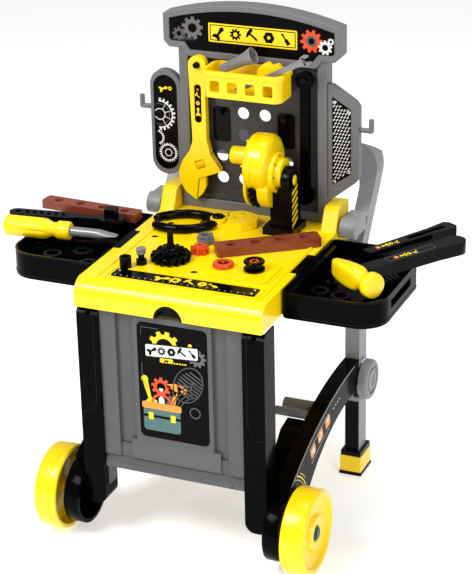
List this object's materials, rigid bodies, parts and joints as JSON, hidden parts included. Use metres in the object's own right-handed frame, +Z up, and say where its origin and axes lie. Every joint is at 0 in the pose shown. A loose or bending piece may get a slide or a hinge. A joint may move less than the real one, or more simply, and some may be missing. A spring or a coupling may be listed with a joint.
{
  "type": "toy workbench",
  "caption": "Folding toy workbench on two wheels with a tool board, side trays, rear pull handle and loose toy tools.",
  "frame": {"origin": "on the floor, under the middle of the overall box", "axes": "+X to the right seen from the front, +Y towards the tool board, +Z up"},
  "size_m": [0.7239, 0.504, 0.772],
  "materials": {
    "grey_plastic": "moulded",
    "yellow_plastic": "gloss",
    "black_plastic": "gloss",
    "dark_plastic": "satin",
    "brown_plastic": "satin",
    "orange_plastic": "gloss",
    "silver_plastic": "satin",
    "label": "printed"
  },
  "bodies": {
    "rear_frame": {"rear_frame": "grey_plastic", "knuckle_caps": "grey_plastic", "feet": "yellow_plastic", "foot_pads": "black_plastic", "hub_pins": "dark_plastic"},
    "table": {"worktop": "yellow_plastic", "hinge_ears": "black_plastic", "ruler_strip": "black_plastic", "front_grip": "black_plastic", "table_peg": "black_plastic", "gear_cluster": "black_plastic", "red_gear": "orange_plastic", "castle_nut": "grey_plastic"},
    "red_screw": {"red_screw": "orange_plastic"},
    "black_screw": {"black_screw": "black_plastic"},
    "strip_table": {"strip_table": "brown_plastic"},
    "front_panel": {"front_panel": "grey_plastic", "post_left": "black_plastic", "post_right": "black_plastic", "panel_decal": "label"},
    "rails": {"rail_left": "black_plastic", "rail_right": "black_plastic", "cross_tubes": "grey_plastic", "axles": "dark_plastic", "rail_decals": "orange_plastic"},
    "wheel_left": {"wheel_left": "yellow_plastic", "hub_cap_left": "dark_plastic"},
    "wheel_right": {"wheel_right": "yellow_plastic", "hub_cap_right": "dark_plastic"},
    "tray_left": {"tray_left": "black_plastic", "tray_left_parts": "dark_plastic"},
    "tray_right": {"tray_right": "black_plastic", "tray_right_parts": "black_plastic"},
    "board": {"board_frame": "grey_plastic", "board_panel": "dark_plastic", "header": "grey_plastic", "header_decal": "label", "wing_left": "grey_plastic", "wing_right": "grey_plastic", "wing_decals": "label", "coat_hooks": "grey_plastic", "board_pegs": "black_plastic"},
    "basket": {"basket": "yellow_plastic", "basket_tools": "silver_plastic"},
    "wrench": {"wrench_body": "yellow_plastic"},
    "wrench_jaw": {"wrench_jaw": "yellow_plastic"},
    "wrench_worm": {"wrench_worm": "dark_plastic"},
    "socket_wrench": {"socket_wrench": "black_plastic"},
    "saw": {"saw_body": "yellow_plastic", "saw_handle": "dark_plastic"},
    "saw_blade": {"saw_blade": "black_plastic"},
    "pliers": {"pliers_lower": "black_plastic"},
    "pliers_jaw": {"pliers_upper": "yellow_plastic"},
    "hammer": {"hammer_head": "yellow_plastic", "hammer_handle": "black_plastic"},
    "screwdriver": {"screwdriver_handle": "yellow_plastic", "screwdriver_blade": "silver_plastic"},
    "ratchet_wrench": {"ratchet_wrench": "black_plastic"},
    "long_tool": {"long_tool": "black_plastic"},
    "strip_tray": {"strip_tray": "brown_plastic"}
  },
  "joints": [
    {"name": "table_fold", "type": "hinge", "parent": "rear_frame", "child": "table", "pos_m": [0, 0.11, 0.437], "axis": [1, 0, 0], "range_deg": [0, 50]},
    {"name": "panel_fold", "type": "hinge", "parent": "table", "child": "front_panel", "pos_m": [0, -0.198, 0.383], "axis": [1, 0, 0], "range_deg": [-50, 0]},
    {"name": "rails_fold", "type": "hinge", "parent": "rear_frame", "child": "rails", "pos_m": [0, 0.142, 0.166], "axis": [1, 0, 0], "range_deg": [0, 50]},
    {"name": "wheel_left_spin", "type": "hinge", "parent": "rails", "child": "wheel_left", "pos_m": [-0.2, -0.185, 0.067], "axis": [1, 0, 0], "continuous": true},
    {"name": "wheel_right_spin", "type": "hinge", "parent": "rails", "child": "wheel_right", "pos_m": [0.2, -0.185, 0.067], "axis": [1, 0, 0], "continuous": true},
    {"name": "tray_left_lift", "type": "slide", "parent": "table", "child": "tray_left", "axis": [0, 0, 1], "range_m": [0, 0.04]},
    {"name": "tray_right_lift", "type": "slide", "parent": "table", "child": "tray_right", "axis": [0, 0, 1], "range_m": [0, 0.04]},
    {"name": "board_lift", "type": "slide", "parent": "table", "child": "board", "axis": [0, 0, 1], "range_m": [0, 0.04]},
    {"name": "basket_pull", "type": "slide", "parent": "board", "child": "basket", "axis": [0, -1, 0], "range_m": [0, 0.02]},
    {"name": "wrench_pull", "type": "slide", "parent": "board", "child": "wrench", "axis": [0, -1, 0], "range_m": [0, 0.03]},
    {"name": "wrench_jaw_slide", "type": "slide", "parent": "wrench", "child": "wrench_jaw", "axis": [0.9285, 0, 0.3714], "range_m": [0, 0.008]},
    {"name": "wrench_worm_spin", "type": "hinge", "parent": "wrench", "child": "wrench_worm", "pos_m": [-0.08397, 0.1098, 0.51304], "axis": [0.9285, 0, 0.3714], "range_deg": [-360, 360]},
    {"name": "socket_wrench_pull", "type": "slide", "parent": "board", "child": "socket_wrench", "axis": [0, -1, 0], "range_m": [0, 0.013]},
    {"name": "saw_lift", "type": "slide", "parent": "table", "child": "saw", "axis": [0, 0, 1], "range_m": [0, 0.022]},
    {"name": "saw_blade_spin", "type": "hinge", "parent": "saw", "child": "saw_blade", "pos_m": [0.031, 0.072, 0.508], "axis": [1, 0, 0], "continuous": true},
    {"name": "pliers_lift", "type": "slide", "parent": "table", "child": "pliers", "axis": [0, 0, 1], "range_m": [0, 0.022]},
    {"name": "pliers_open", "type": "hinge", "parent": "pliers", "child": "pliers_jaw", "pos_m": [-0.034, 0.056, 0.441], "axis": [0, 0, 1], "range_deg": [0, 14]},
    {"name": "red_screw_turn", "type": "hinge", "parent": "table", "child": "red_screw", "pos_m": [0.04, -0.098, 0.437], "axis": [0, 0, 1], "continuous": true},
    {"name": "black_screw_turn", "type": "hinge", "parent": "table", "child": "black_screw", "pos_m": [0.089, -0.096, 0.44], "axis": [0, 0, 1], "continuous": true},
    {"name": "strip_table_lift", "type": "slide", "parent": "table", "child": "strip_table", "axis": [0, 0, 1], "range_m": [0, 0.04]},
    {"name": "hammer_lift", "type": "slide", "parent": "tray_right", "child": "hammer", "axis": [0, 0, 1], "range_m": [0, 0.06]},
    {"name": "long_tool_lift", "type": "slide", "parent": "tray_right", "child": "long_tool", "axis": [0, 0, 1], "range_m": [0, 0.06]},
    {"name": "screwdriver_lift", "type": "slide", "parent": "tray_left", "child": "screwdriver", "axis": [0, 0, 1], "range_m": [0, 0.06]},
    {"name": "ratchet_wrench_lift", "type": "slide", "parent": "tray_left", "child": "ratchet_wrench", "axis": [0, 0, 1], "range_m": [0, 0.06]},
    {"name": "strip_tray_lift", "type": "slide", "parent": "tray_left", "child": "strip_tray", "axis": [0, 0, 1], "range_m": [0, 0.06]}
  ],
  "couplings": [
    {"joint": "panel_fold", "follows": "table_fold", "ratio": -1},
    {"joint": "rails_fold", "follows": "table_fold", "ratio": 1},
    {"joint": "wrench_worm_spin", "follows": "wrench_jaw_slide", "rad_per_m": -785.4}
  ]
}
